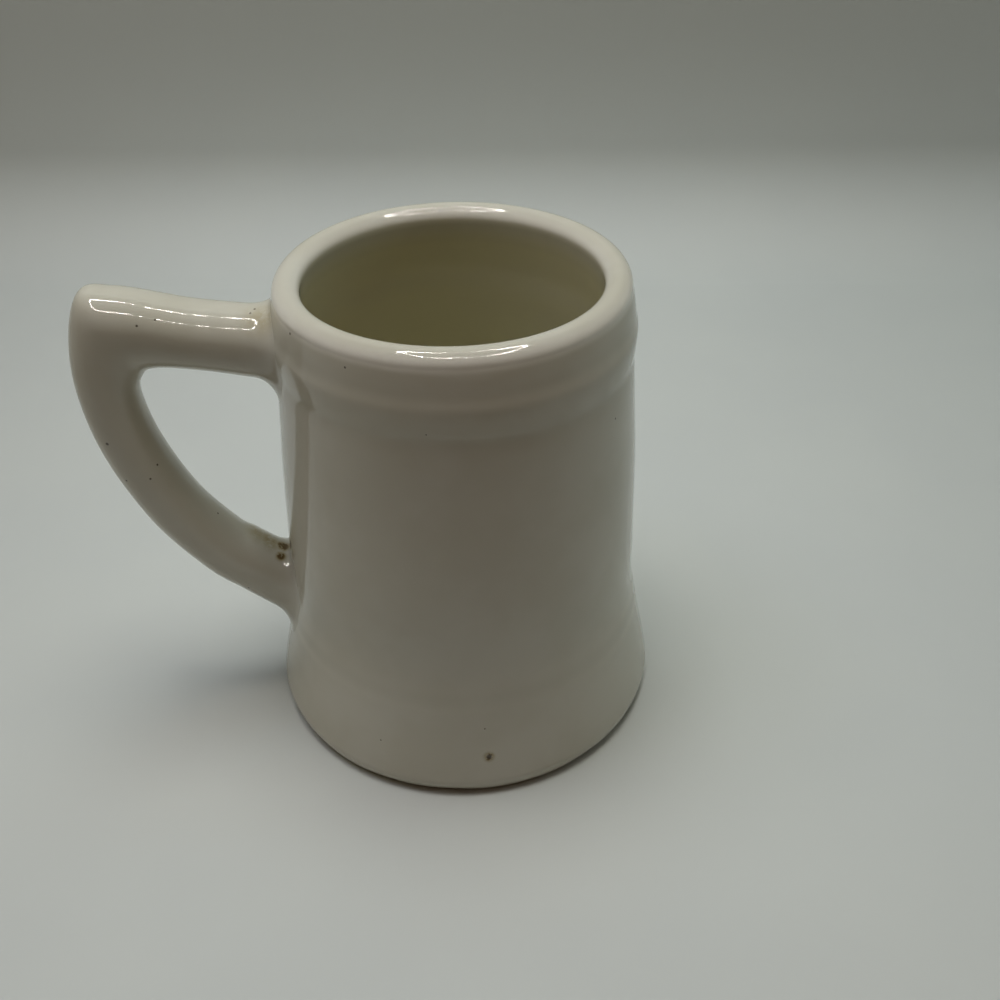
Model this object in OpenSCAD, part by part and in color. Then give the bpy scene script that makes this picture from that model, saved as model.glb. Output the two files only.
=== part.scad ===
// Ceramic shaving mug: a cast body with two low raised bands, a separately cast angular
// handle luted on with slip, and a glaze coat that leaves the foot ring bare.
// Millimetres, +Z up. The origin is on the mug's axis in the plane of the foot, and the
// handle points along -X.

/* [Mug] */
// Overall height, foot to lip
mug_h = 100; // [85:1:120]
// Widest outside radius, just above the foot
base_r = 42.5; // [41:0.5:46]
// Outside radius at the waist, above the flared base
waist_r = 37.4; // [36.4:0.2:38.4]
// Outside radius in the groove under the upper band
neck_r = 34.7; // [34:0.1:35.4]
// Outside radius of the rolled lip
lip_r = 33.8; // [33:0.1:34.6]

/* [Wall] */
// Thickness of the rolled lip
lip_t = 5.2; // [4:0.2:6]
// Thickness of the wall below the lip
wall_t = 5; // [4:0.2:6]
// Thickness of the floor above the foot plane
floor_t = 7; // [5:0.5:10]
// Radius of the inside corner between wall and floor
corner_r = 8; // [4:1:12]

/* [Foot] */
// Width of the bare ring that the mug stands on
foot_w = 5; // [3:0.5:8]
// Depth of the recess inside the ring
foot_recess = 2; // [1:0.2:3]
// Height at which the glaze stops above the foot plane
glaze_line = 0.6; // [0.4:0.1:1.5]

/* [Handle] */
// Width of the handle across the mug
handle_w = 13.4; // [10:0.2:16]
// Squareness of the handle's section: 2 is an ellipse
handle_square = 2.2; // [2:0.1:3]

/* [Slip joints] */
// Thickness of slip between the handle's ends and the wall
slip_t = 0.6; // [0.4:0.1:1.2]
// How far out from the wall the wiped fillet reaches
fillet_reach = 4; // [2.5:0.5:5]

/* [Glaze] */
// Thickness of the glaze coat
glaze_t = 0.4; // [0.3:0.05:0.6]

/* [Hidden] */
biscuit_colour = "#cbb592";
slip_colour = "#bfa985";
glaze_colour = "#e4e0cf";

// One hundredth of the mug's height: heights on the profile are given in it
u = mug_h / 100;

// Rounded underside edge: the arc's radius and the height of its centre
edge_r = 5.7;
edge_z = 4;
edge_steps = 5;
// Points between two keys of a smooth curve
profile_steps = 3;
handle_steps = 4;
lip_steps = 12;
corner_steps = 6;
round_fn = 96;

// Outside of the wall, from the widest point to the lip: [radius, height]
wall_keys = [
    [base_r, edge_z],
    [base_r - 0.8, 8 * u],
    [base_r - 2.1, 14 * u],
    [base_r - 2.9, 18 * u],
    [base_r - 3.4, 20.8 * u],
    [base_r - 3.8, 22.6 * u],
    [waist_r + 0.9, 25 * u],
    [waist_r + 0.35, 28 * u],
    [waist_r, 33 * u],
    [waist_r - 0.1, 43 * u],
    [waist_r - 1.1, 62 * u],
    [neck_r + 0.8, 74 * u],
    [neck_r + 0.4, 80 * u],
    [neck_r + 0.1, 83.5 * u],
    [neck_r + 0.3, 86 * u],
    [neck_r + 0.45, 89.5 * u],
    [neck_r, 92 * u],
    [lip_r + 0.4, 95.5 * u],
    [lip_r, mug_h - lip_t / 2]
];
// Inside of the wall, from the lip to the corner above the floor
bore_keys = [
    [lip_r - lip_t, mug_h - lip_t / 2],
    [lip_r - lip_t + 0.35, 94 * u],
    [neck_r - 0.3 - wall_t, 90 * u],
    [neck_r + 0.1 - wall_t, 86 * u],
    [neck_r + 0.3 - wall_t, 81 * u],
    [neck_r + 0.8 - wall_t, 74 * u],
    [waist_r - 1.1 - wall_t, 62 * u],
    [waist_r - 0.1 - wall_t, 43 * u],
    [waist_r + 0.1 - wall_t, 30 * u],
    [waist_r + 1.2 - wall_t, floor_t + corner_r]
];

// Edges of the handle in its own plane, from the end of the upper fillet, round the square
// shoulder, to the end of the lower fillet: [distance from the mug's axis, height]
outer_edge = [
    [39, 94.9 * u], [49, 96.7 * u], [62, 100.1 * u], [68.6, 99 * u], [72.4, 84.7 * u],
    [71, 68 * u], [64.9, 50.4 * u], [55.6, 36 * u], [49, 29.5 * u], [42.6, 23.5 * u]
];
inner_edge = [
    [39, 81 * u], [48, 83.3 * u], [56, 84.4 * u], [59.4, 83 * u], [61, 77.7 * u],
    [59.1, 66.5 * u], [54.2, 54.5 * u], [47.3, 44.5 * u], [44.2, 41.9 * u], [41.3, 39.5 * u]
];
handle_sides = 28;

// The handle's two ends. For each: the last and the next point on both edges, how far the
// fillet spreads over the wall past the outer edge, past the inner edge and to each side,
// and whether the outer edge is the upper one (1) or the lower one (-1)
upper_end = [outer_edge[0], outer_edge[1], inner_edge[0], inner_edge[1], [1.6, 4.5, 3.5], 1];
lower_end = [outer_edge[9], outer_edge[8], inner_edge[9], inner_edge[8], [4.5, 2, 3], -1];
// Places along a fillet, as shares of its reach
fillet_places = [0, 0.08, 0.18, 0.3, 0.46, 0.66, 1];

// A point at t on the smooth curve between keys b and c, with a and d beyond them
function curve_point(a, b, c, d, t) =
    (2 * b + (c - a) * t + (2 * a - 5 * b + 4 * c - d) * t * t
        + (3 * b - 3 * c + d - a) * t * t * t) / 2;

function smooth_curve(keys, steps) =
    let (last = len(keys) - 1)
    [
        for (i = [0 : last - 1])
            for (j = [0 : steps - 1])
                curve_point(
                    keys[max(i - 1, 0)], keys[i], keys[i + 1], keys[min(i + 2, last)],
                    j / steps
                ),
        keys[last]
    ];

function arc(centre, r, from, to, steps) =
    [for (i = [0 : steps])
        let (a = from + (to - from) * i / steps)
            centre + r * [cos(a), sin(a)]];

function reversed(list) = [for (i = [len(list) - 1 : -1 : 0]) list[i]];

// Outside of the mug at a depth under the glazed surface, from a height up to the lip
function outside(depth, from_z) =
    let (low = -asin((edge_z - from_z) / edge_r))
    concat(
        arc([base_r - edge_r - depth, edge_z], edge_r, low, low / edge_steps, edge_steps - 1),
        [for (p = smooth_curve(wall_keys, profile_steps)) p - [depth, 0]]
    );

function lip(depth) =
    arc(
        [lip_r - lip_t / 2, mug_h - lip_t / 2], lip_t / 2 - depth,
        180 / lip_steps, 180 - 180 / lip_steps, lip_steps - 2
    );

// Inside of the mug at a depth under the glazed surface, from the lip to the floor's centre
function inside(depth) =
    let (corner = bore_keys[len(bore_keys) - 1] - [corner_r, 0])
    concat(
        [for (p = smooth_curve(bore_keys, profile_steps)) p + [depth, 0]],
        arc(corner, corner_r + depth, -90 / corner_steps, -90, corner_steps - 1),
        [[0, floor_t - depth]]
    );

// Radius of the glazed wall at a height
wall_table = [for (p = concat(outside(0, 0), lip(0))) [p.y, p.x]];
function wall_radius(z) = lookup(z, wall_table);

// Power of a sine or cosine that squares up a round section
function squared(value) = sign(value) * pow(abs(value), 2 / handle_square);

function side_angles() = [for (j = [0 : handle_sides - 1]) 360 * j / handle_sides];

// One section of the handle, between a point on each edge
function handle_ring(outer, inner, depth) =
    let (
        middle = (outer + inner) / 2,
        way = (outer - inner) / norm(outer - inner),
        half_t = norm(outer - inner) / 2 - depth
    )
    [for (a = side_angles())
        let (p = middle + way * half_t * squared(cos(a)))
            [-p.x, (handle_w / 2 - depth) * squared(sin(a)), p.y]];

// The sections between the two fillets
function handle_rings(depth) =
    let (
        outer = smooth_curve(outer_edge, handle_steps),
        inner = smooth_curve(inner_edge, handle_steps)
    )
    [for (i = [1 : len(outer) - 2]) handle_ring(outer[i], inner[i], depth)];

// Share of a fillet's spread that is left at a share of its reach: a quarter circle
function spread_left(place) = 1 - sqrt(1 - pow(1 - min(max(place, 0), 1), 2));

// Height on the line through an end's last two points of an edge, short of the fillet's end
function end_height(last, next, short_by) =
    last.y - (next.y - last.y) / (next.x - last.x) * short_by;

// A point on one of the end sections: its heights and half width, then how far out it is
function end_point(end, outer_z, inner_z, half_w, out, a) =
    let (
        t = squared(cos(a)),
        z = (outer_z + inner_z) / 2 + (outer_z - inner_z) / 2 * t,
        y = half_w * squared(sin(a)),
        place = min(max(out / fillet_reach, 0), 1),
        straight = (end[0].x + end[2].x) / 2 + (end[0].x - end[2].x) / 2 * t,
        r = wall_radius(z) * (1 - place) + straight * place + min(out, 0)
    )
    [-sqrt(r * r - y * y), y, z];

// One section near the wall, wrapped round it. The sizes are taken at the place size_out,
// and spread is the share of the fillet's spread that it has
function end_ring(end, size_out, out, spread, depth) =
    let (
        outer_z = end_height(end[0], end[1], fillet_reach - size_out)
            + end[5] * (end[4][0] * spread - depth),
        inner_z = end_height(end[2], end[3], fillet_reach - size_out)
            - end[5] * (end[4][1] * spread - depth),
        half_w = handle_w / 2 + end[4][2] * spread - depth
    )
    [for (a = side_angles()) end_point(end, outer_z, inner_z, half_w, out, a)];

// The handle's own surface near the wall, from a distance out up to the fillet's end
function plain_end(end, from, depth) =
    [for (place = fillet_places)
        let (out = place * fillet_reach)
            if (place == 0)
                end_ring(end, from, from, 0, depth)
            else if (out > from)
                end_ring(end, out, out, 0, depth)];

// The fillet's surface, from the wall out to its end
function fillet(end, depth) =
    [for (place = fillet_places)
        let (out = place * fillet_reach)
            end_ring(end, out, out, spread_left(place + depth / fillet_reach), depth)];

// Outline on the wall of the slip that fills the window in the body's glaze
function window_ring(end, out) =
    end_ring(end, 0, out, spread_left(glaze_t / fillet_reach), glaze_t);

// The point in the middle of an end section
function end_middle(end, out) =
    let (z = (end_height(end[0], end[1], fillet_reach) + end_height(end[2], end[3], fillet_reach)) / 2)
    [-wall_radius(z) - out, 0, z];

// Faces between each ring and the next, for rings of the same number of points
function ring_faces(rings, sides) =
    [for (i = [0 : rings - 2])
        for (j = [0 : sides - 1])
            let (
                a = i * sides + j,
                b = i * sides + (j + 1) % sides
            )
                each [[a, b + sides, b], [a, a + sides, b + sides]]];

// A closed solid through rings of points, each end closed by faces to a middle point
module capped_rings(first, rings, last) {
    sides = handle_sides;
    n = len(rings) * sides;
    polyhedron(
        points = concat([for (ring = rings) each ring], [first, last]),
        faces = concat(
            ring_faces(len(rings), sides),
            [for (j = [0 : sides - 1]) [j, (j + 1) % sides, n]],
            [for (j = [0 : sides - 1]) [n - sides + (j + 1) % sides, n - sides + j, n + 1]]
        ),
        convexity = 6
    );
}

// A closed solid through rings of points that come back to the first ring
module looped_rings(rings) {
    sides = handle_sides;
    polyhedron(
        points = [for (ring = rings) each ring],
        faces = [for (face = ring_faces(len(rings) + 1, sides))
            [for (i = face) i % (len(rings) * sides)]],
        convexity = 6
    );
}

module slip_joint(end) {
    pad = slip_t - glaze_t;
    under_fillet = plain_end(end, pad, glaze_t);
    rings = concat(
        [window_ring(end, -glaze_t)],
        fillet(end, glaze_t),
        [for (i = [len(under_fillet) - 2 : -1 : 0]) under_fillet[i]]
    );
    wall_middle = end_middle(end, -glaze_t);
    pad_middle = end_middle(end, pad);
    color(slip_colour)
        if (end[5] > 0)
            capped_rings(wall_middle, rings, pad_middle);
        else
            capped_rings(pad_middle, reversed(rings), wall_middle);
}

// The opening in the body's glaze where a slip joint meets the wall
module glaze_window(end, from) {
    outline = [for (p = window_ring(end, 0)) [p.y, p.z]];
    translate([-from, 0, 0])
        rotate([90, 0, -90])
            linear_extrude(height = wall_t + fillet_reach)
                polygon([for (p = outline) [-p.x, p.y]]);
}

module vessel() {
    foot_out = outside(glaze_t, 0)[0];
    foot_in = foot_out.x - foot_w;
    color(biscuit_colour)
        rotate_extrude($fn = round_fn)
            polygon(concat(
                [[0, foot_recess], [foot_in, foot_recess], [foot_in, 0]],
                outside(glaze_t, 0), lip(glaze_t), inside(glaze_t)
            ));
}

module handle() {
    pad = slip_t - glaze_t;
    color(biscuit_colour)
        capped_rings(
            end_middle(upper_end, pad),
            concat(
                plain_end(upper_end, pad, glaze_t),
                handle_rings(glaze_t),
                reversed(plain_end(lower_end, pad, glaze_t))
            ),
            end_middle(lower_end, pad)
        );
}

module upper_slip_joint() {
    slip_joint(upper_end);
}

module lower_slip_joint() {
    slip_joint(lower_end);
}

module body_glaze() {
    color(glaze_colour)
        difference() {
            rotate_extrude($fn = round_fn)
                polygon(concat(
                    outside(0, glaze_line), lip(0), inside(0),
                    reversed(inside(glaze_t)), reversed(lip(glaze_t)),
                    reversed(outside(glaze_t, glaze_line))
                ));
            glaze_window(upper_end, neck_r - wall_t / 2);
            glaze_window(lower_end, waist_r - wall_t / 2);
        }
}

module handle_glaze() {
    color(glaze_colour)
        looped_rings(concat(
            fillet(upper_end, 0),
            handle_rings(0),
            reversed(fillet(lower_end, 0)),
            fillet(lower_end, glaze_t),
            reversed(handle_rings(glaze_t)),
            reversed(fillet(upper_end, glaze_t))
        ));
}

module base_glaze() {
    disc_r = outside(glaze_t, 0)[0].x - foot_w - glaze_t;
    color(glaze_colour)
        translate([0, 0, foot_recess - glaze_t])
            cylinder(r = disc_r, h = glaze_t, $fn = round_fn);
}

vessel();
handle();
upper_slip_joint();
lower_slip_joint();
body_glaze();
handle_glaze();
base_glaze();
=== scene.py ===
"""Looks for a glazed ceramic shaving mug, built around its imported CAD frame.

Every length in the tables is in hundredths of the mug's height, which are millimetres on
the mug as built. The scale comes from the frame.
"""

import math

import bpy
import numpy as np
from mathutils import Matrix, Vector


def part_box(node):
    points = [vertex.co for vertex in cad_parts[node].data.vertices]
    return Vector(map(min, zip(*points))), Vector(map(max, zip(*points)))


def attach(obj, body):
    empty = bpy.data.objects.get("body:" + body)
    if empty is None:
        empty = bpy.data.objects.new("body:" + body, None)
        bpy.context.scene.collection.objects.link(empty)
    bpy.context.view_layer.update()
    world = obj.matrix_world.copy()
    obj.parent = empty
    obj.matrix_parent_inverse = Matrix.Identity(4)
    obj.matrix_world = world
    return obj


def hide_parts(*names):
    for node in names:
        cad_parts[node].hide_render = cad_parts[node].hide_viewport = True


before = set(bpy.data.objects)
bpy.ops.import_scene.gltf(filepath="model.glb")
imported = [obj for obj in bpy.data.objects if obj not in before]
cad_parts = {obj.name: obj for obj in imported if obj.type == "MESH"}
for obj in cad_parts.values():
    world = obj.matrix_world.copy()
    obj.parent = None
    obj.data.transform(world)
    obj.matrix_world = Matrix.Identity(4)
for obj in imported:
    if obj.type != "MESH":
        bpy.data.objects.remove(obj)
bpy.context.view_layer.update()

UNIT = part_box("body_glaze")[1].z / 100  # one hundredth of the mug's height, in metres

# ---------------------------------------------------------------- sizes, as in the CAD

BASE_R = 42.5
WAIST_R = 37.4
NECK_R = 34.7
LIP_R = 33.8
LIP_T = 5.2
WALL_T = 5.0
FLOOR_T = 7.0
CORNER_R = 8.0
FOOT_W = 5.0
RECESS = 2.0
GLAZE_LINE = 0.6
GLAZE_T = 0.4
EDGE_R = 5.7  # of the rounded lower edge
EDGE_Z = 4.0  # height of that edge's centre
HANDLE_W = 13.4
SQUARENESS = 2.2  # of the handle's section: 2 is an ellipse, more is squarer
REACH = 4.0  # how far the handle's fillets run out from the wall

# Radius and height along the outside, from the lower edge up, and along the bore, downwards
WALL_KEYS = [
    (BASE_R, EDGE_Z),
    (BASE_R - 0.8, 8),
    (BASE_R - 2.1, 14),
    (BASE_R - 2.9, 18),
    (BASE_R - 3.4, 20.8),
    (BASE_R - 3.8, 22.6),
    (WAIST_R + 0.9, 25),
    (WAIST_R + 0.35, 28),
    (WAIST_R, 33),
    (WAIST_R - 0.1, 43),
    (WAIST_R - 1.1, 62),
    (NECK_R + 0.8, 74),
    (NECK_R + 0.4, 80),
    (NECK_R + 0.1, 83.5),
    (NECK_R + 0.3, 86),
    (NECK_R + 0.45, 89.5),
    (NECK_R, 92),
    (LIP_R + 0.4, 95.5),
    (LIP_R, 100 - LIP_T / 2),
]
BORE_KEYS = [
    (LIP_R - LIP_T, 100 - LIP_T / 2),
    (LIP_R - LIP_T + 0.35, 94),
    (NECK_R - 0.3 - WALL_T, 90),
    (NECK_R + 0.1 - WALL_T, 86),
    (NECK_R + 0.3 - WALL_T, 81),
    (NECK_R + 0.8 - WALL_T, 74),
    (WAIST_R - 1.1 - WALL_T, 62),
    (WAIST_R - 0.1 - WALL_T, 43),
    (WAIST_R + 0.1 - WALL_T, 30),
    (WAIST_R + 1.2 - WALL_T, FLOOR_T + CORNER_R),
]
# Distance from the axis and height along the handle's two edges, from the top down
OUTER_EDGE = [
    (39, 94.9), (49, 96.7), (62, 100.1), (68.6, 99), (72.4, 84.7),
    (71, 68), (64.9, 50.4), (55.6, 36), (49, 29.5), (42.6, 23.5),
]
INNER_EDGE = [
    (39, 81), (48, 83.3), (56, 84.4), (59.4, 83), (61, 77.7),
    (59.1, 66.5), (54.2, 54.5), (47.3, 44.5), (44.2, 41.9), (41.3, 39.5),
]
# A fillet's spread on the wall: past the outer edge, past the inner edge and to each side,
# then 1 where the outer edge is the upper one
UPPER_SPREAD = (1.6, 4.5, 3.5, 1)
LOWER_SPREAD = (4.5, 2.0, 3.0, -1)

# Mesh steps: round the axis, round the handle, between keys, and along a fillet. The surfaces
# under the glaze have fewer
ROUND_SIDES = 192
HANDLE_SIDES = 72
PROFILE_STEPS = 5
HIDDEN_STEPS = 2
HANDLE_STEPS = 10
HIDDEN_HANDLE_STEPS = 4
FILLET_STEPS = 12
HIDDEN_FILLET_STEPS = 7

# A fillet starts just under the wall's surface, and a little wider there
TUCK_DEPTH = 0.15
TUCK_SPREAD = 1.04

# ---------------------------------------------------------------- shapes


def smooth_curve(keys, steps):
    """Points on a smooth curve through all the keys."""
    k = np.array(keys, float)
    k = np.vstack([k[:1], k, k[-1:]])
    t = np.arange(steps)[:, None] / steps
    spans = [
        (2 * b + (c - a) * t + (2 * a - 5 * b + 4 * c - d) * t**2
         + (3 * b - 3 * c + d - a) * t**3) / 2
        for a, b, c, d in zip(k, k[1:], k[2:], k[3:])
    ]
    return np.vstack(spans + [k[-1:]])


def arc(centre, radius, start, end, steps):
    """Points on a circle from one angle to another, in degrees."""
    a = np.radians(np.linspace(start, end, steps + 1))
    return np.array(centre) + radius * np.stack([np.cos(a), np.sin(a)], 1)


def outside(depth, from_z, steps):
    """The rounded underside edge and the wall, at a depth under the glaze, up to the lip."""
    low = -math.degrees(math.asin((EDGE_Z - from_z) / EDGE_R))
    edge = arc((BASE_R - EDGE_R - depth, EDGE_Z), EDGE_R, low, 0, 2 * steps)
    wall = smooth_curve(WALL_KEYS, steps) - (depth, 0)
    return np.vstack([edge[:-1], wall])


def lip(depth, steps):
    """The half circle over the lip, without its two ends."""
    ring = arc((LIP_R - LIP_T / 2, 100 - LIP_T / 2), LIP_T / 2 - depth, 0, 180, steps)
    return ring[1:-1]


def inside(depth, steps):
    """The inner wall from the lip down, the corner and the floor."""
    corner = (BORE_KEYS[-1][0] - CORNER_R, BORE_KEYS[-1][1])
    wall = smooth_curve(BORE_KEYS, steps) + (depth, 0)
    bend = arc(corner, CORNER_R + depth, 0, -90, 3 * steps)
    floor = [(bend[-1][0] * share, FLOOR_T - depth) for share in (0.75, 0.5, 0.25, 0)]
    return np.vstack([wall, bend[1:], floor])


# The glazed outside, from the lower edge to the lip's shoulder
wall_line = np.vstack([outside(0, 0, 8), lip(0, 32)[:14]])


def wall_radius(z):
    """Radius of the glazed outside at each height."""
    return np.interp(z, wall_line[:, 1], wall_line[:, 0])


def waviness(points):
    """The slight unevenness of a hand-finished casting, the same field for every piece.

    It fades out towards the foot, which stays flat.
    """
    x, y, z = points.T
    rise = np.clip((z - 3) / 30, 0, 1)
    dx = 0.07 * np.sin(0.11 * z + 0.09 * y + 0.8) + 0.05 * np.sin(0.21 * z - 0.13 * x)
    dy = 0.07 * np.sin(0.10 * z + 0.08 * x + 2.1) + 0.05 * np.sin(0.19 * z + 0.15 * y)
    dz = 0.10 * np.sin(0.06 * x + 1.3) + 0.08 * np.sin(0.09 * y + 0.05 * x)
    return points + np.stack([dx * rise, dy * rise, dz * rise], 1)


def make_piece(name, points, faces, material, replaced):
    """A smooth-shaded piece from points in hundredths of the mug's height."""
    mesh = bpy.data.meshes.new(name)
    mesh.from_pydata((waviness(points) * UNIT).tolist(), [], faces)
    mesh.validate()
    mesh.polygons.foreach_set("use_smooth", [True] * len(mesh.polygons))
    piece = bpy.data.objects.new(name, mesh)
    bpy.context.scene.collection.objects.link(piece)
    mesh.materials.append(material)
    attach(piece, "root")
    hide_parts(replaced)


def lathe(profile, closed):
    """Points and faces of a profile turned about the axis. Points on the axis are shared."""
    turn = np.linspace(0, 2 * math.pi, ROUND_SIDES, endpoint=False)
    points, rows = [], []
    for r, z in profile:
        first = len(points)
        if r < 1e-6:
            points.append((0, 0, z))
            rows.append([first] * ROUND_SIDES)
        else:
            points.extend(zip(r * np.cos(turn), r * np.sin(turn), [z] * ROUND_SIDES))
            rows.append(list(range(first, first + ROUND_SIDES)))
    pairs = list(zip(rows, rows[1:])) + ([(rows[-1], rows[0])] if closed else [])
    faces = []
    for low, high in pairs:
        for i in range(ROUND_SIDES):
            j = (i + 1) % ROUND_SIDES
            corners = list(dict.fromkeys((low[i], low[j], high[j], high[i])))
            if len(corners) > 2:
                faces.append(corners)
    return np.array(points, float), faces


def squared(value):
    """A sine or cosine, with its round section squared up a little."""
    return np.sign(value) * np.abs(value) ** (2 / SQUARENESS)


side_turn = np.linspace(0, 2 * math.pi, HANDLE_SIDES, endpoint=False)
ACROSS = squared(np.cos(side_turn))
ASIDE = squared(np.sin(side_turn))


def handle_ring(outer, inner, depth):
    """A section of the handle between a point on each of its edges."""
    half = np.linalg.norm(outer - inner) / 2
    way = (outer - inner) / (2 * half)
    p = (outer + inner) / 2 + way * (half - depth) * ACROSS[:, None]
    return np.stack([-p[:, 0], (HANDLE_W / 2 - depth) * ASIDE, p[:, 1]], 1)


def root_ring(ends, spread, place, left, depth):
    """A section near the wall: wrapped round it at place 0, flat at place 1.

    The share of the fillet's spread that remains there is left.
    """
    (o0, o1), (i0, i1) = ends
    short = REACH * (1 - place)
    up = spread[3]
    outer_z = o0[1] - (o1[1] - o0[1]) / (o1[0] - o0[0]) * short + up * (spread[0] * left - depth)
    inner_z = i0[1] - (i1[1] - i0[1]) / (i1[0] - i0[0]) * short - up * (spread[1] * left - depth)
    z = (outer_z + inner_z) / 2 + (outer_z - inner_z) / 2 * ACROSS
    y = (HANDLE_W / 2 + spread[2] * left - depth) * ASIDE
    straight = (o0[0] + i0[0]) / 2 + (o0[0] - i0[0]) / 2 * ACROSS
    r = wall_radius(z) - depth
    x = np.sqrt(r * r - y * y) * (1 - place) + straight * place
    return np.stack([-x, y, z], 1)


def root_rings(outer_edge, inner_edge, spread, depth, steps):
    """The fillet from just under the wall's surface out to its end, a quarter circle."""
    ends = (outer_edge, inner_edge)
    rings = [root_ring(ends, spread, 0, TUCK_SPREAD, depth + TUCK_DEPTH)]
    for angle in np.radians(np.linspace(4, 90, steps)):
        rings.append(root_ring(ends, spread, 1 - math.sin(math.pi / 2 - angle),
                               1 - math.cos(math.pi / 2 - angle), depth))
    return rings


# ---------------------------------------------------------------- materials


class Nodes:
    """A small helper for one material's node tree."""

    def __init__(self, name):
        self.material = bpy.data.materials.new(name)
        self.material.use_nodes = True
        self.tree = self.material.node_tree
        self.shader = self.tree.nodes["Principled BSDF"]

    def add(self, kind, inputs=None, **settings):
        made = self.tree.nodes.new("ShaderNode" + kind)
        for key, value in settings.items():
            setattr(made, key, value)
        for key, value in (inputs or {}).items():
            self.feed(made.inputs[key], value)
        return made

    def feed(self, socket, value):
        if isinstance(value, bpy.types.NodeSocket):
            self.tree.links.new(value, socket)
        else:
            socket.default_value = value

    def math(self, operation, a, b=0.0):
        made = self.add("Math", {0: a, 1: b}, operation=operation)
        return made.outputs[0]

    def noise(self, place, scale, detail=2.0, roughness=0.5):
        made = self.add("TexNoise", {
            "Vector": place, "Scale": scale, "Detail": detail, "Roughness": roughness,
        })
        return made.outputs["Fac"]

    def fade(self, value, start, end, low=0.0, high=1.0):
        made = self.add("MapRange", {
            "Value": value, "From Min": start, "From Max": end, "To Min": low, "To Max": high,
        }, interpolation_type="SMOOTHSTEP")
        return made.outputs["Result"]

    def mix(self, share, first, second):
        made = self.add("Mix", data_type="RGBA")
        self.feed(made.inputs["Factor"], share)
        self.feed(made.inputs[6], first)
        self.feed(made.inputs[7], second)
        return made.outputs[2]

    def object_place(self):
        return self.add("TexCoord").outputs["Object"]


# Iron specks that burnt through the glaze: place, radius of the speck
BODY_SPECKS = [
    ((0.3, -41.2, 10.2), 0.7), ((-0.3, -39.8, 17.2), 0.22), ((-21.5, -34.8, 11.6), 0.22),
    ((-8.5, -34.0, 85.5), 0.18), ((-30.2, -15.6, 96.7), 0.34),
    ((22.0, 33.0, 60.0), 0.3), ((36.0, 14.0, 48.0), 0.22), ((12.0, 39.0, 14.0), 0.35),
]
HANDLE_SPECKS = [
    ((-68.0, -6.4, 71.2), 0.45), ((-60.0, -5.0, 64.6), 0.3), ((-61.6, -6.5, 62.4), 0.28),
    ((-54.5, -5.2, 95.9), 0.28), ((-57.7, -6.1, 95.4), 0.3), ((-37.2, -0.8, 94.6), 0.3),
    ((-38.0, -2.0, 94.4), 0.3), ((-51.0, -1.6, 49.0), 0.28), ((-66.0, 6.4, 80.0), 0.3),
]
# Yellow-brown stains: place, radius, strength. The darkest turn to a burnt brown
BODY_STAINS = [((0.3, -41.2, 10.2), 1.7, 1.5), ((-36.0, -2.0, 94.5), 4.0, 0.5)]
HANDLE_STAINS = [
    ((-39.0, -0.3, 37.8), 2.4, 1.35), ((-41.6, -0.1, 39.5), 4.2, 0.75),
    ((-39.5, -3.1, 37.3), 1.8, 1.3), ((-44.0, 0.3, 41.4), 4.0, 0.6),
    ((-35.8, -3.5, 94.0), 5.5, 0.5),
]


def nearness(n, place, marks, soft):
    """1 at the marks, falling to 0 over their radius times soft."""
    total = 0.0
    for spot, radius, *strength in marks:
        far = n.add("VectorMath", {0: place, 1: [c * UNIT for c in spot]}, operation="DISTANCE")
        near = n.fade(far.outputs["Value"], radius * UNIT * soft[0], radius * UNIT * soft[1], 1, 0)
        if strength:
            near = n.math("MULTIPLY", near, strength[0])
        total = near if total == 0.0 else n.math("MAXIMUM", total, near)
    return total


CREAM_THIN = (0.56, 0.55, 0.475, 1)
CREAM_THICK = (0.525, 0.512, 0.43, 1)
CREAM_BOUNCE_TINT = (0.60, 0.575, 0.40, 1)
CREAM_LIP_PAINTED_LIGHT = (0.84, 0.83, 0.76, 1)
CREAM_GROOVE_SHADE = (0.40, 0.39, 0.31, 1)
STAIN_BROWN = (0.30, 0.235, 0.095, 1)
BURNT_BROWN = (0.09, 0.05, 0.02, 1)
IRON_BLACK = (0.045, 0.03, 0.018, 1)
FRECKLE_BROWN = (0.10, 0.06, 0.03, 1)
FOOT_DARKENING_BROWN = (0.10, 0.075, 0.055, 1)
BOWL_BOUNCE_TINT_FADE = (92, 97)  # the heights between which the painted bounce tint in the bowl ends
PAINTED_LIGHT_LIP_Z = 98.1  # the middle of the band of painted light over the lip's shoulder, and half its height
PAINTED_LIGHT_LIP_HALF = 2
GLAZE_IOR = 1.52
RIPPLE_DEPTH = 0.05
PEEL_DEPTH = 0.006
PIT_DEPTH = 0.05
GRAIN_DEPTH = 0.04
FIBRE_DEPTH = 0.02


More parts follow.
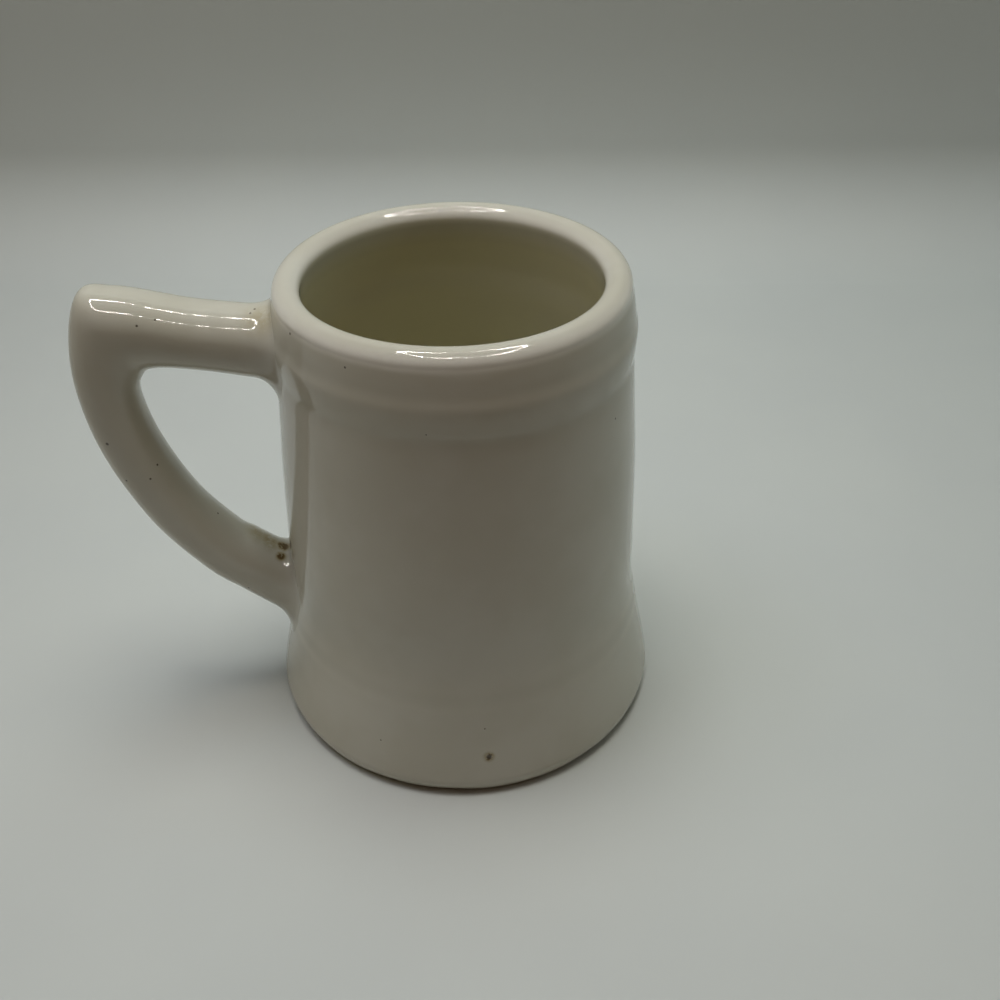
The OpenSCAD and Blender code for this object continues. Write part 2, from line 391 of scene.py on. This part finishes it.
def glaze_material(name, specks, stains, groove_shade, inner_r):
    """Cream glaze, clouded, with painted shade in the grooves, iron specks, stains and ripples.

    On the body it has a painted yellow tint for bounce light inside the radius inner_r, and
    painted light over the lip's shoulder.
    """
    n = Nodes(name)
    place = n.object_place()
    height = n.add("SeparateXYZ", {0: place}).outputs["Z"]

    # Thicker and thinner glaze in clouds; painted bounce tint in the bowl, painted light on the
    # lip's shoulder and painted shade in the grooves
    clouds = n.noise(place, 0.045 / UNIT, 3.0, 0.55)
    cream = n.mix(n.fade(clouds, 0.35, 0.65), CREAM_THICK, CREAM_THIN)
    if inner_r:
        # Painted yellow tint inside the bowl, for the light bounced round it
        flat = n.add("VectorMath", {0: place, 1: (1, 1, 0)}, operation="MULTIPLY").outputs[0]
        out_by = n.add("VectorMath", {0: flat}, operation="LENGTH").outputs["Value"]
        within = n.fade(out_by, inner_r * UNIT, (inner_r + 1.0) * UNIT, 1, 0)
        below = n.fade(height, *(z * UNIT for z in BOWL_BOUNCE_TINT_FADE), 1, 0)
        cream = n.mix(n.math("MULTIPLY", within, below), cream, CREAM_BOUNCE_TINT)
        # Painted light: a paler band over the lip's shoulder
        off_lip = n.math("ABSOLUTE", n.math("SUBTRACT", height, PAINTED_LIGHT_LIP_Z * UNIT))
        shoulder = n.fade(off_lip, 0, PAINTED_LIGHT_LIP_HALF * UNIT, 1, 0)
        cream = n.mix(shoulder, cream, CREAM_LIP_PAINTED_LIGHT)
    # Painted shade: darker bands at the grooves
    for middle, half, strength in groove_shade:
        off_groove = n.math("ABSOLUTE", n.math("SUBTRACT", height, middle * UNIT))
        share = n.fade(off_groove, 0, half * UNIT, strength, 0)
        cream = n.mix(share, cream, CREAM_GROOVE_SHADE)

    # Ragged stains, burnt where they are strongest
    ragged = n.noise(place, 0.55 / UNIT, 4.0, 0.65)
    patchy = n.fade(ragged, 0.3, 0.55, 0.4, 1)
    stain = n.math("MULTIPLY", nearness(n, place, stains, (0.1, 1.0)), patchy)
    cream = n.mix(stain, cream, STAIN_BROWN)
    cream = n.mix(n.fade(stain, 0.6, 1.1, 0, 0.85), cream, BURNT_BROWN)

    # Fine grit in four of ten cells, and the iron specks
    cells = n.add("TexVoronoi", {"Vector": place, "Scale": 0.11 / UNIT})
    draw = n.add("SeparateColor", {0: cells.outputs["Color"]}).outputs[0]
    rare = n.math("GREATER_THAN", draw, 0.6)
    grit = n.math("MULTIPLY", n.fade(cells.outputs["Distance"], 0.018, 0.032, 1, 0), rare)
    speck = n.math("MAXIMUM", grit, nearness(n, place, specks, (0.45, 1.0)))
    cream = n.mix(n.math("MULTIPLY", speck, 0.85), cream, IRON_BLACK)
    n.feed(n.shader.inputs["Base Color"], cream)

    # Gloss, duller on the stains, over slow ripples, a fine peel and a pit at each speck
    gloss = n.fade(n.noise(place, 0.12 / UNIT, 2.0), 0.3, 0.7, 0.04, 0.06)
    n.feed(n.shader.inputs["Roughness"], n.math("ADD", gloss, n.math("MULTIPLY", stain, 0.15)))
    n.shader.inputs["IOR"].default_value = GLAZE_IOR
    ripple = n.add("Bump", {
        "Strength": 1.0, "Distance": RIPPLE_DEPTH * UNIT,
        "Height": n.noise(place, 0.11 / UNIT, 1.0),
    })
    peel = n.add("Bump", {
        "Strength": 1.0, "Distance": PEEL_DEPTH * UNIT,
        "Height": n.noise(place, 0.7 / UNIT, 1.0), "Normal": ripple.outputs[0],
    })
    pit = n.add("Bump", {
        "Strength": 1.0, "Distance": PIT_DEPTH * UNIT,
        "Height": speck, "Normal": peel.outputs[0],
    }, invert=True)
    n.feed(n.shader.inputs["Normal"], pit.outputs[0])
    return n.material


def fired_clay_material(name, light, dark, foot_darkening):
    """Unglazed fired clay: patchy and grainy, with iron freckles, and darker towards the foot."""
    n = Nodes(name)
    place = n.object_place()
    height = n.add("SeparateXYZ", {0: place}).outputs["Z"]
    patches = n.fade(n.noise(place, 0.15 / UNIT, 4.0, 0.6), 0.35, 0.65)
    body = n.mix(patches, light, dark)
    freckles = n.add("TexVoronoi", {"Vector": place, "Scale": 0.9 / UNIT}).outputs["Distance"]
    body = n.mix(n.fade(freckles, 0.10, 0.2, 0.6, 0), body, FRECKLE_BROWN)
    # Darker towards the foot, in brown
    darker_low = n.fade(height, 0, 2.5 * UNIT, foot_darkening, 0)
    body = n.mix(darker_low, body, FOOT_DARKENING_BROWN)
    n.feed(n.shader.inputs["Base Color"], body)
    grain = n.noise(place, 2.2 / UNIT, 5.0, 0.7)
    n.feed(n.shader.inputs["Roughness"], n.fade(grain, 0.3, 0.7, 0.78, 0.95))
    bump = n.add("Bump", {"Strength": 1.0, "Distance": GRAIN_DEPTH * UNIT, "Height": grain})
    n.feed(n.shader.inputs["Normal"], bump.outputs[0])
    return n.material


# Painted shade in bands at the grooves: height, half width, strength
GROOVE_SHADE_BANDS = [(83.5, 4.0, 0.12), (24.5, 3.5, 0.15), (93.0, 1.5, 0.1)]
INNER_R = 33.0  # between the inner and the outer surface of the wall
body_glaze_look = glaze_material("body_glaze_look", BODY_SPECKS, BODY_STAINS, GROOVE_SHADE_BANDS, INNER_R)
handle_glaze_look = glaze_material("handle_glaze_look", HANDLE_SPECKS, HANDLE_STAINS, [], 0)
biscuit_look = fired_clay_material(
    "biscuit_look", light=(0.42, 0.30, 0.19, 1), dark=(0.34, 0.235, 0.145, 1), foot_darkening=0.85
)
slip_look = fired_clay_material(
    "slip_look", light=(0.40, 0.28, 0.17, 1), dark=(0.30, 0.20, 0.12, 1), foot_darkening=0.0
)

# ---------------------------------------------------------------- pieces

EDGE_FADE = 3.0  # how far above its lower edge the body's glaze is uneven
RECESS_R = 0.5  # in the corner under the base
WORN_IN_R = 0.4  # on the foot ring's worn corners
WORN_OUT_R = 0.5
WORN_TOP = 0.35  # where the wall above the foot ring starts
POOL_R = 0.5  # where the base glaze climbs at its edge

# Body glaze: the outside, the lip and the inside, then back under its own surface
drip_edge = arc(outside(GLAZE_T / 2, GLAZE_LINE, 1)[0], GLAZE_T / 2, 180, 360, 6)[1:-1]
body_skin = np.vstack([
    outside(0, GLAZE_LINE, PROFILE_STEPS), lip(0, 28), inside(0, PROFILE_STEPS),
    inside(GLAZE_T, HIDDEN_STEPS)[::-1], lip(GLAZE_T, 10)[::-1],
    outside(GLAZE_T, GLAZE_LINE, HIDDEN_STEPS)[::-1], drip_edge,
])
points, faces = lathe(body_skin, True)
around = np.arctan2(points[:, 1], points[:, 0])
uneven = (
    0.22 * np.sin(3 * around + 0.6) + 0.14 * np.sin(7 * around + 2.2) + 0.08 * np.sin(17 * around)
)
on_outside = np.hypot(*points.T[:2]) > BASE_R - 5
at_edge = np.clip((GLAZE_LINE + EDGE_FADE - points[:, 2]) / EDGE_FADE, 0, 1) * on_outside
points[:, 2] += uneven * at_edge
make_piece("glaze_body", points, faces, body_glaze_look, "body_glaze")


def handle_skin(depth, handle_steps, fillet_steps):
    """Sections of the handle between its two fillets and of the fillets themselves."""
    outer = smooth_curve(OUTER_EDGE, handle_steps)
    inner = smooth_curve(INNER_EDGE, handle_steps)
    upper = root_rings(
        np.array(OUTER_EDGE[:2]), np.array(INNER_EDGE[:2]), UPPER_SPREAD, depth, fillet_steps
    )
    lower = root_rings(
        np.array(OUTER_EDGE[:-3:-1]), np.array(INNER_EDGE[:-3:-1]), LOWER_SPREAD, depth,
        fillet_steps,
    )
    middle = [handle_ring(o, i, depth) for o, i in zip(outer[1:-1], inner[1:-1])]
    return upper + middle + lower[::-1]


# Handle glaze: over the handle and its fillets, then back under its own surface
rings = handle_skin(0, HANDLE_STEPS, FILLET_STEPS)
rings += handle_skin(GLAZE_T, HIDDEN_HANDLE_STEPS, HIDDEN_FILLET_STEPS)[::-1]
points = np.vstack(rings)
faces = []
for row in range(len(rings)):
    a, b = row * HANDLE_SIDES, (row + 1) % len(rings) * HANDLE_SIDES
    for i in range(HANDLE_SIDES):
        j = (i + 1) % HANDLE_SIDES
        faces.append((a + i, a + j, b + j, b + i))
make_piece("glaze_handle", points, faces, handle_glaze_look, "handle_glaze")

# Biscuit body: under the glaze, and bare at the foot ring with its worn corners
foot_out = outside(GLAZE_T, 0, 1)[0][0]
foot_in = foot_out - FOOT_W
foot_ring = np.vstack([
    [(0, RECESS), (foot_in / 2, RECESS)],
    arc((foot_in - RECESS_R, RECESS - RECESS_R), RECESS_R, 90, 0, 4),
    arc((foot_in + WORN_IN_R, WORN_IN_R), WORN_IN_R, 180, 270, 4),
    arc((foot_out - WORN_OUT_R, WORN_OUT_R), WORN_OUT_R, 270, 305, 3),
])
biscuit_skin = np.vstack([
    foot_ring, outside(GLAZE_T, WORN_TOP, 3)[1:], lip(GLAZE_T, 12), inside(GLAZE_T, 3),
])
points, faces = lathe(biscuit_skin, False)
make_piece("biscuit_vessel", points, faces, biscuit_look, "vessel")

# Base glaze: a thin pool inside the foot ring that climbs a little at its edge
pool_r = foot_in - GLAZE_T
pool = np.vstack([
    [
        (0, RECESS - GLAZE_T), (pool_r * 0.5, RECESS - GLAZE_T * 0.95),
        (pool_r - 1.5, RECESS - GLAZE_T),
    ],
    arc((pool_r - POOL_R, RECESS - POOL_R + GLAZE_T / 2), POOL_R, 270, 360, 5),
    [(pool_r - 0.2, RECESS), (0, RECESS)],
])
points, faces = lathe(pool, False)
make_piece("glaze_base", points, faces, body_glaze_look, "base_glaze")

# The handle and its joints keep their CAD shapes, under the glaze
for node_name, look in (
    ("handle", biscuit_look), ("upper_slip_joint", slip_look), ("lower_slip_joint", slip_look)
):
    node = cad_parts[node_name]
    node.data.materials.clear()
    node.data.materials.append(look)

# ---------------------------------------------------------------- studio

# Places and sizes in the studio are in mug heights
HEIGHT = 100 * UNIT
CAMERA_YAW = 7.53  # turned from +Y towards +X

PAPER_DULL = (0.58, 0.615, 0.605, 1)
PAPER_PALE = (0.595, 0.63, 0.615, 1)
PAPER_SHADED_HIGH = (0.38, 0.395, 0.37, 1)
PAPER_SHADED_ASIDE = (0.38, 0.395, 0.38, 1)
PAPER_SHADED_FRONT = (0.40, 0.385, 0.35, 1)
ASIDE_FROM, ASIDE_TO = 0.5, 2.6
FRONT_FROM, FRONT_TO = -0.9, -1.9


def paper_material():
    """Pale, faintly clouded paper, with painted shade up the back, to the sides and towards its
    front end.
    """
    n = Nodes("paper_look")
    place = n.object_place()
    cloud = n.fade(n.noise(place, 0.02 / UNIT, 2.0), 0.3, 0.7)
    colour = n.mix(cloud, PAPER_DULL, PAPER_PALE)
    spread = n.add("SeparateXYZ", {0: place}).outputs
    # Painted shade: darker up the back
    colour = n.mix(n.fade(spread["Z"], 0, HEIGHT), colour, PAPER_SHADED_HIGH)
    # Painted shade: darker towards the sides
    off_middle = n.math("ABSOLUTE", spread["X"])
    side_shade = n.fade(off_middle, ASIDE_FROM * HEIGHT, ASIDE_TO * HEIGHT, 0, 0.5)
    colour = n.mix(side_shade, colour, PAPER_SHADED_ASIDE)
    # Painted shade: darker and warmer towards the front end, which also dims its bounce light
    front_shade = n.fade(spread["Y"], FRONT_FROM * HEIGHT, FRONT_TO * HEIGHT)
    colour = n.mix(front_shade, colour, PAPER_SHADED_FRONT)
    n.feed(n.shader.inputs["Base Color"], colour)
    n.shader.inputs["Roughness"].default_value = 0.7
    fibre = n.noise(place, 3 / UNIT, 3.0)
    bump = n.add("Bump", {"Strength": 0.3, "Distance": FIBRE_DEPTH * UNIT, "Height": fibre})
    n.feed(n.shader.inputs["Normal"], bump.outputs[0])
    return n.material


def staged_mesh(name, points, faces, material):
    """A smooth-shaded mesh that is part of the studio, from points in metres."""
    mesh = bpy.data.meshes.new(name)
    mesh.from_pydata(points, [], faces)
    mesh.polygons.foreach_set("use_smooth", [True] * len(mesh.polygons))
    mesh.materials.append(material)
    made = bpy.data.objects.new(name, mesh)
    bpy.context.scene.collection.objects.link(made)
    return made


# A sheet of paper that runs from the floor up the back, square to the camera
SHEET_FRONT = -4.0
SHEET_BACK = 2.4
SHEET_BEND = 0.4
SHEET_TOP = 9.0
SHEET_HALF_W = 15.0
bend = arc((SHEET_BACK - SHEET_BEND, SHEET_BEND), SHEET_BEND, -90, 0, 24)
sheet_line = np.vstack([[(SHEET_FRONT, 0)], bend, [(SHEET_BACK, SHEET_TOP)]]) * HEIGHT
sheet_points = [(x * SHEET_HALF_W * HEIGHT, y, z) for y, z in sheet_line for x in (-1, 1)]
sheet_faces = [(2 * i, 2 * i + 1, 2 * i + 3, 2 * i + 2) for i in range(len(sheet_line) - 1)]
sheet = staged_mesh("paper_sheet", sheet_points, sheet_faces, paper_material())
sheet.rotation_euler.z = -math.radians(CAMERA_YAW)


def area_light(name, place, target, size, power, colour):
    """A round soft light that faces its target."""
    data = bpy.data.lights.new(name, "AREA")
    data.shape = "DISK"
    data.size = size
    data.energy = power
    data.color = colour
    lamp = bpy.data.objects.new(name, data)
    lamp.location = place
    lamp.rotation_euler = (Vector(target) - Vector(place)).to_track_quat("-Z", "Y").to_euler()
    bpy.context.scene.collection.objects.link(lamp)
    return lamp


# The lamp overhead is a loop of small diodes, which the gloss reflects. Its light on matt
# surfaces, and the room's, come from soft discs: name, place, aim, size, power, colour
SOFT_LIGHTS = [
    ("overhead_soft", (0.1, 0.15, 6.2), (0.1, 0.15, 0), 2.9, 1.72, (1, 0.965, 0.87)),
    ("overhead_left", (-2.2, 0.2, 6.0), (-2.2, 0.2, 0), 3.0, 0.78, (0.86, 0.88, 1)),
    ("overhead_back", (0.1, 1.6, 6.2), (0.1, 1.6, 0), 2.5, 0.40, (0.55, 0.82, 1)),
    ("side_left", (-4.5, 0.8, 2.0), (0, 0, 0.5), 2.5, 0.12, (1, 0.92, 0.60)),
    ("side_right", (4.5, 0.8, 2.0), (0, 0, 0.5), 2.5, 0.195, (0.77, 1, 1)),
]
for name, at, aim, size, power, tint in SOFT_LIGHTS:
    soft = area_light(
        name, Vector(at) * HEIGHT, Vector(aim) * HEIGHT, size * HEIGHT, power, tint
    )
    soft.visible_glossy = False

LAMP_AT = Vector((0.2, -1.2, 5.5)) * HEIGHT
LAMP_HALF = 1.85  # the loop's half width
LAMP_SQUARING = 0.6  # 1 is a round loop, less is squarer
DIODES = 168
DIODE = 0.09  # a diode's width
DIODE_STRENGTH = 110
glow = Nodes("diode_look")
glow.shader.inputs["Base Color"].default_value = (0, 0, 0, 1)
glow.shader.inputs["Emission Color"].default_value = (1, 0.98, 0.93, 1)
glow.shader.inputs["Emission Strength"].default_value = DIODE_STRENGTH
diode_points, diode_faces = [], []
for i in range(DIODES):
    a = 2 * math.pi * i / DIODES
    c = math.copysign(abs(math.cos(a)) ** LAMP_SQUARING, math.cos(a)) * LAMP_HALF
    s = math.copysign(abs(math.sin(a)) ** LAMP_SQUARING, math.sin(a)) * LAMP_HALF
    first = len(diode_points)
    for dx, dy in ((-1, -1), (-1, 1), (1, 1), (1, -1)):
        corner = LAMP_AT / HEIGHT + Vector((c + dx * DIODE / 2, s + dy * DIODE / 2, 0))
        diode_points.append(tuple(corner * HEIGHT))
    diode_faces.append((first, first + 1, first + 2, first + 3))
diodes = staged_mesh("lamp_diodes", diode_points, diode_faces, glow.material)
diodes.visible_diffuse = False
diodes.visible_camera = False

# The room throws a dim, warm light, and is pale where it is seen past the paper
ROOM_LIGHT = (0.066, 0.038, 0.020, 1)
ROOM_SEEN = (0.30, 0.32, 0.31, 1)
world = bpy.data.worlds.new("room")
bpy.context.scene.world = world
world.use_nodes = True
room = world.node_tree.nodes["Background"]
room.inputs["Strength"].default_value = 1.0
path = world.node_tree.nodes.new("ShaderNodeLightPath")
seen = world.node_tree.nodes.new("ShaderNodeMix")
seen.data_type = "RGBA"
seen.inputs[6].default_value = ROOM_LIGHT
seen.inputs[7].default_value = ROOM_SEEN
world.node_tree.links.new(path.outputs["Is Camera Ray"], seen.inputs["Factor"])
world.node_tree.links.new(seen.outputs[2], room.inputs["Color"])

# ---------------------------------------------------------------- camera

CAMERA_AT = Vector((-0.16615, -1.8991, 1.8799)) * HEIGHT
CAMERA_PITCH = 36.78  # below the horizon
CAMERA_ROLL = -0.51
SENSOR_W = 36  # mm
LENS = 39.6  # mm
yaw, pitch, roll = (math.radians(a) for a in (CAMERA_YAW, CAMERA_PITCH, CAMERA_ROLL))
ahead = Vector((math.sin(yaw), math.cos(yaw), 0))
forward = ahead * math.cos(pitch) - Vector((0, 0, math.sin(pitch)))
level = Vector((math.cos(yaw), -math.sin(yaw), 0))
upright = level.cross(forward)
right = level * math.cos(roll) + upright * math.sin(roll)
up = upright * math.cos(roll) - level * math.sin(roll)
camera_data = bpy.data.cameras.new("camera")
camera_data.sensor_width = SENSOR_W
camera_data.lens = LENS
camera = bpy.data.objects.new("camera", camera_data)
turned = Matrix((right, up, -forward)).transposed().to_4x4()
camera.matrix_world = Matrix.Translation(CAMERA_AT) @ turned
bpy.context.scene.collection.objects.link(camera)
bpy.context.scene.camera = camera
bpy.context.scene.view_settings.view_transform = "Standard"
